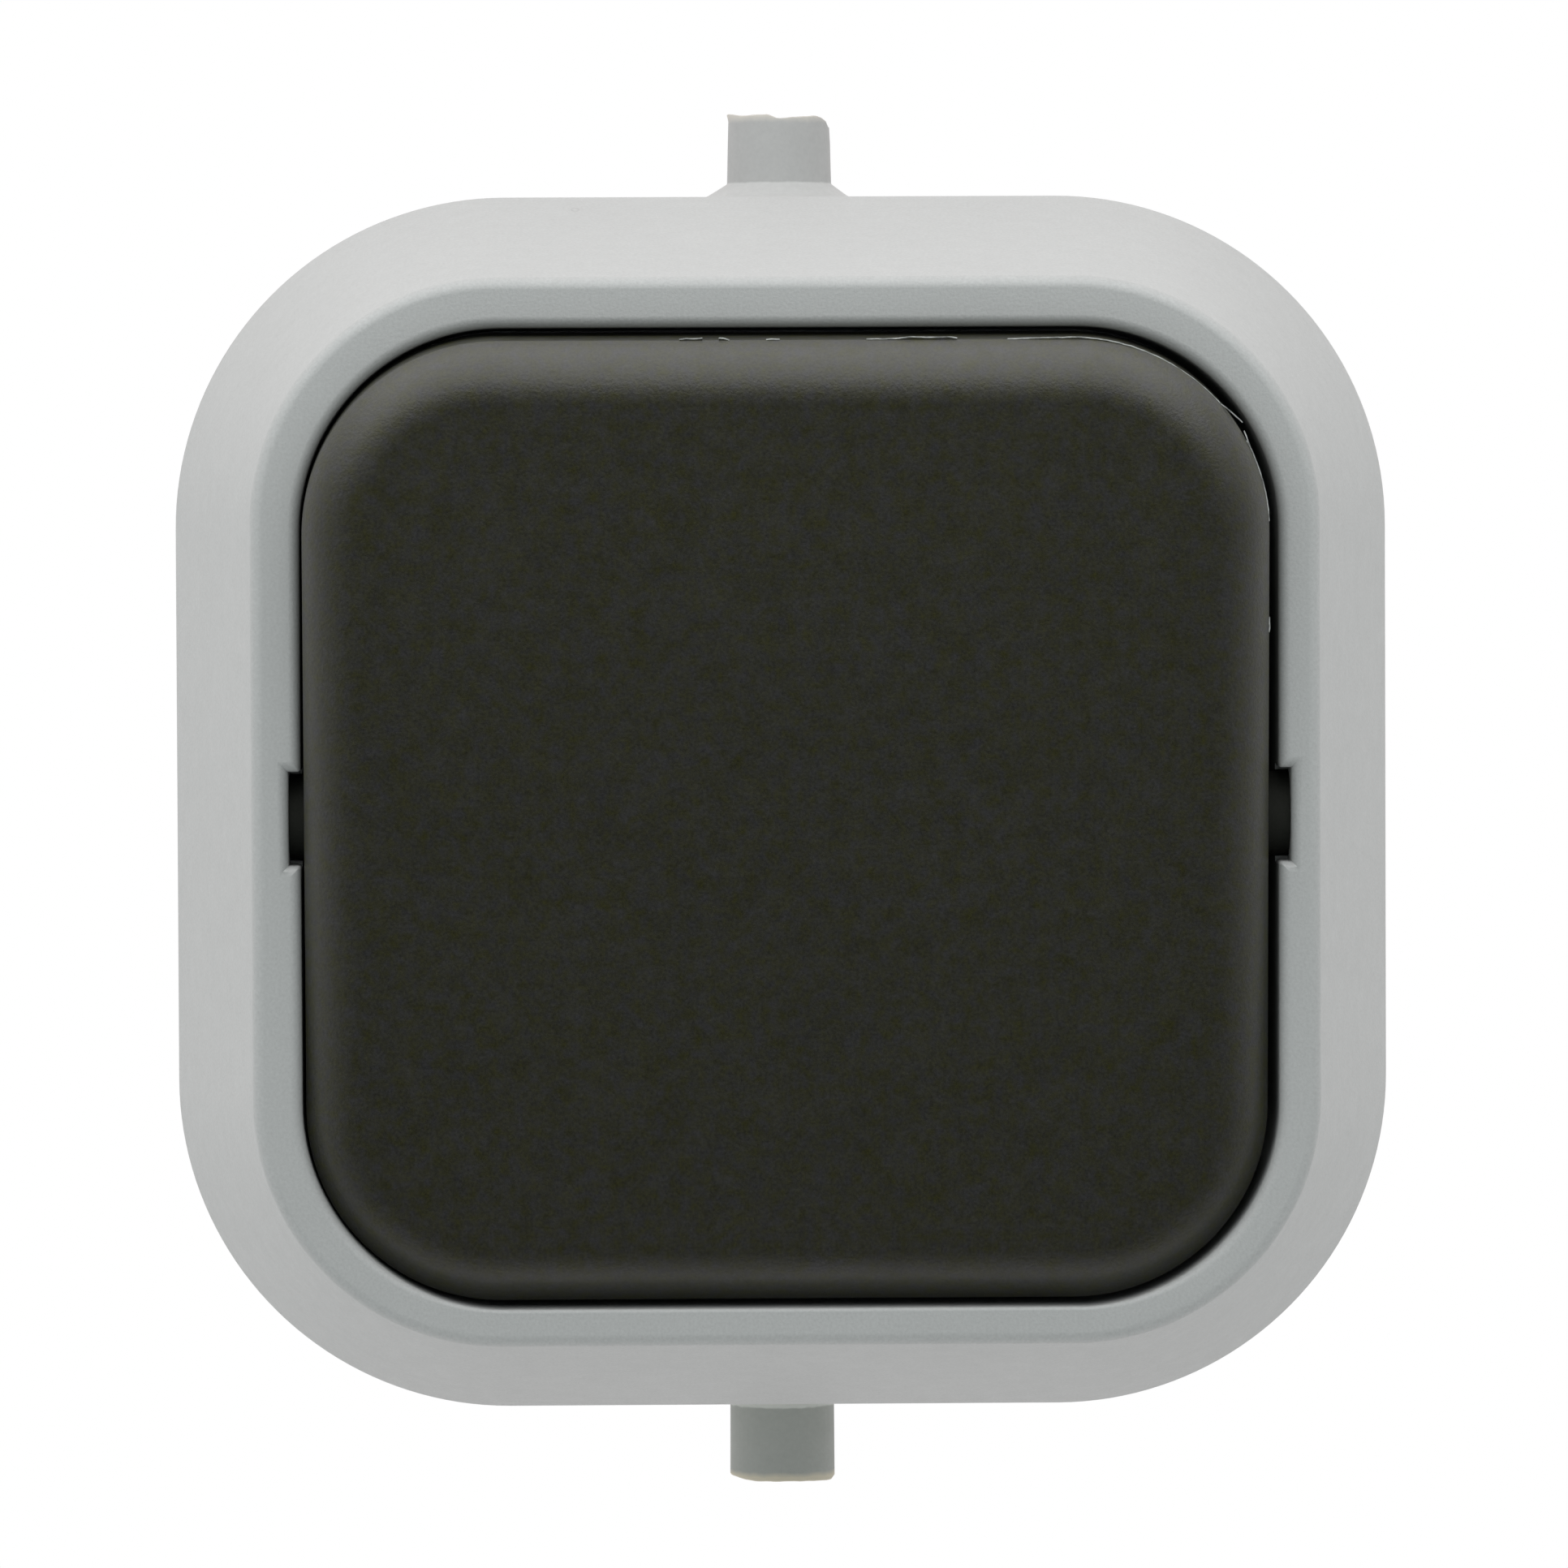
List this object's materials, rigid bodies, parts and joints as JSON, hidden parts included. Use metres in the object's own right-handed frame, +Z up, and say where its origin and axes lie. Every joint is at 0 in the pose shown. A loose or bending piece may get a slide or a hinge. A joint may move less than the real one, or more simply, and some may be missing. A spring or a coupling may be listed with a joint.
{
  "type": "surface-mounted light switch",
  "caption": "Grey surface-mounted rocker light switch for damp rooms: rounded square cover and base box, dark pillow rocker, soft cable nozzles above and below.",
  "frame": {"origin": "centre of the flat wall face at the back of the base box", "axes": "front of the switch towards -Y, wall behind it on the +Y side, +Z up, +X to the right seen from the front"},
  "size_m": [0.066, 0.0479, 0.0764],
  "materials": {
    "housing_grey": "fine spark-eroded matte",
    "rocker_grey": "fine spark-eroded matte",
    "grommet_soft": "soft, slightly translucent",
    "seal_rubber": "foam rubber",
    "socket_white": "moulded",
    "toggle_natural": "moulded",
    "zinc_steel": "zinc plated",
    "strip_brass": "bright stamped",
    "contact_silver": "silver alloy",
    "spring_steel": "drawn wire"
  },
  "bodies": {
    "housing": {"base_box": "housing_grey", "front_cover": "housing_grey", "top_cable_grommet": "grommet_soft", "bottom_cable_grommet": "grommet_soft", "cover_gasket": "seal_rubber", "window_seal": "seal_rubber", "switch_socket": "socket_white", "toggle_frame": "socket_white", "cover_screws": "zinc_steel", "mounting_strap": "zinc_steel", "strap_screws": "zinc_steel", "frame_rivets": "zinc_steel", "terminal_screws": "zinc_steel", "common_strip": "strip_brass", "upper_strip": "strip_brass", "lower_strip": "strip_brass", "terminal_clamps": "strip_brass", "fixed_contact_tips": "contact_silver"},
    "rocker": {"rocker": "rocker_grey"},
    "toggle": {"toggle": "toggle_natural", "plunger_spring": "spring_steel"},
    "plunger": {"plunger": "toggle_natural"},
    "contact_rocker": {"contact_rocker": "strip_brass", "moving_contact_tips": "contact_silver"}
  },
  "joints": [
    {"name": "rocker_hinge", "type": "hinge", "parent": "housing", "child": "rocker", "pos_m": [0, -0.04097, 0], "axis": [-1, 0, 0], "range_deg": [0, 9]},
    {"name": "toggle_hinge", "type": "hinge", "parent": "housing", "child": "toggle", "pos_m": [0, -0.0251, 0], "axis": [-1, 0, 0], "range_deg": [-15.9, 0]},
    {"name": "contact_hinge", "type": "hinge", "parent": "housing", "child": "contact_rocker", "pos_m": [0, -0.01487, 0], "axis": [-1, 0, 0], "range_deg": [0, 15.9]},
    {"name": "plunger_slide", "type": "slide", "parent": "toggle", "child": "plunger", "axis": [0, -0.9905, 0.1374], "range_m": [0, 0.0008], "stiffness_N_per_m": 300, "springref_m": -0.003, "deforming": ["plunger_spring"]}
  ],
  "couplings": [
    {"joint": "toggle_hinge", "follows": "rocker_hinge", "ratio": -1.7556},
    {"joint": "contact_hinge", "follows": "rocker_hinge", "ratio": 1.7556}
  ]
}
